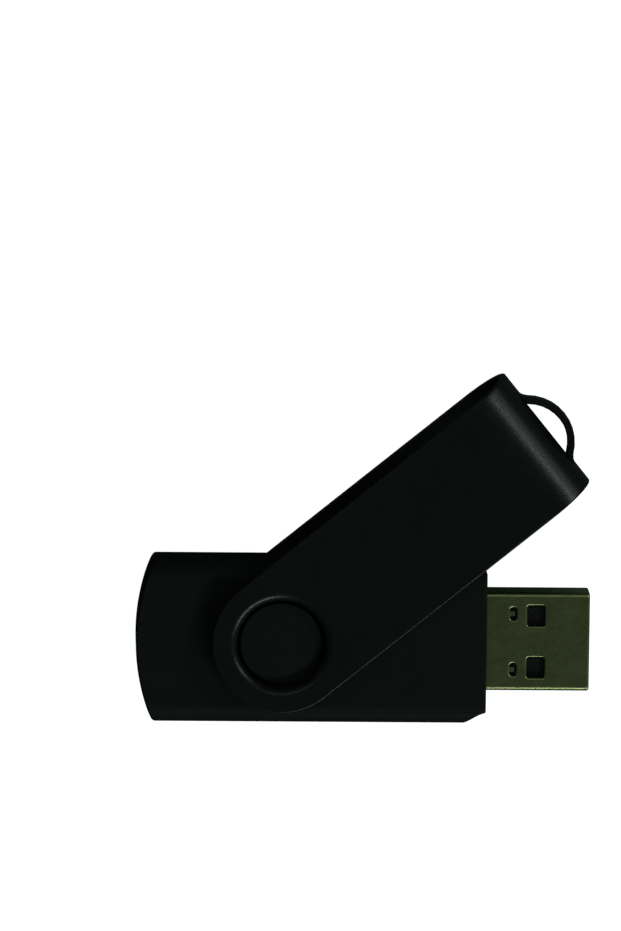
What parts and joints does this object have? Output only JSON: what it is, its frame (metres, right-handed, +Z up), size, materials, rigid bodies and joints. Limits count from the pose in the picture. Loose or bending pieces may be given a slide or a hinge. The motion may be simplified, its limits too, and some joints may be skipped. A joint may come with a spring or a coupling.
{
  "type": "usb flash drive",
  "caption": "Flash drive with a two-shell plastic body, a USB-A plug and a U-shaped metal cover that swivels right round the body and carries a key-ring loop.",
  "frame": {"origin": "centre of the bounding box in plan, on the surface that the cover's lower plate rests on, with the cover swung 39.1 degrees open", "axes": "+X along the body towards the plug, +Z up along the swivel axis"},
  "size_m": [0.0544, 0.0422, 0.0114],
  "materials": {
    "cover_finish": "black anodised, satin, fine grain",
    "body_plastic": "black ABS, fine matte texture",
    "plug_steel": "nickel-plated steel, satin with fine marks",
    "insulator": "black moulded plastic",
    "contact_gold": "gold-plated, smooth",
    "board": "green solder mask on glass-fibre board",
    "chip": "moulded chip case",
    "crystal_can": "plated can",
    "lamp": "clear moulded lens",
    "capacitor": "ceramic body",
    "resistor": "ceramic chip with a dark face"
  },
  "bodies": {
    "case": {"upper_shell": "body_plastic", "lower_shell": "body_plastic", "plug_shell": "plug_steel", "plug_insulator": "insulator", "power_contact": "contact_gold", "data_minus_contact": "contact_gold", "data_plus_contact": "contact_gold", "ground_contact": "contact_gold", "circuit_board": "board", "memory_chip": "chip", "controller_chip": "chip", "crystal": "crystal_can", "status_led": "lamp", "capacitor_1": "capacitor", "capacitor_2": "capacitor", "capacitor_3": "capacitor", "capacitor_4": "capacitor", "resistor_1": "resistor", "resistor_2": "resistor", "resistor_3": "resistor", "resistor_4": "resistor"},
    "cover": {"swivel_cover": "cover_finish"}
  },
  "joints": [
    {"name": "cover_swivel", "type": "hinge", "parent": "case", "child": "cover", "pos_m": [-0.00985, -0.01109, 0.0057], "axis": [0, 0, 1], "continuous": true}
  ]
}
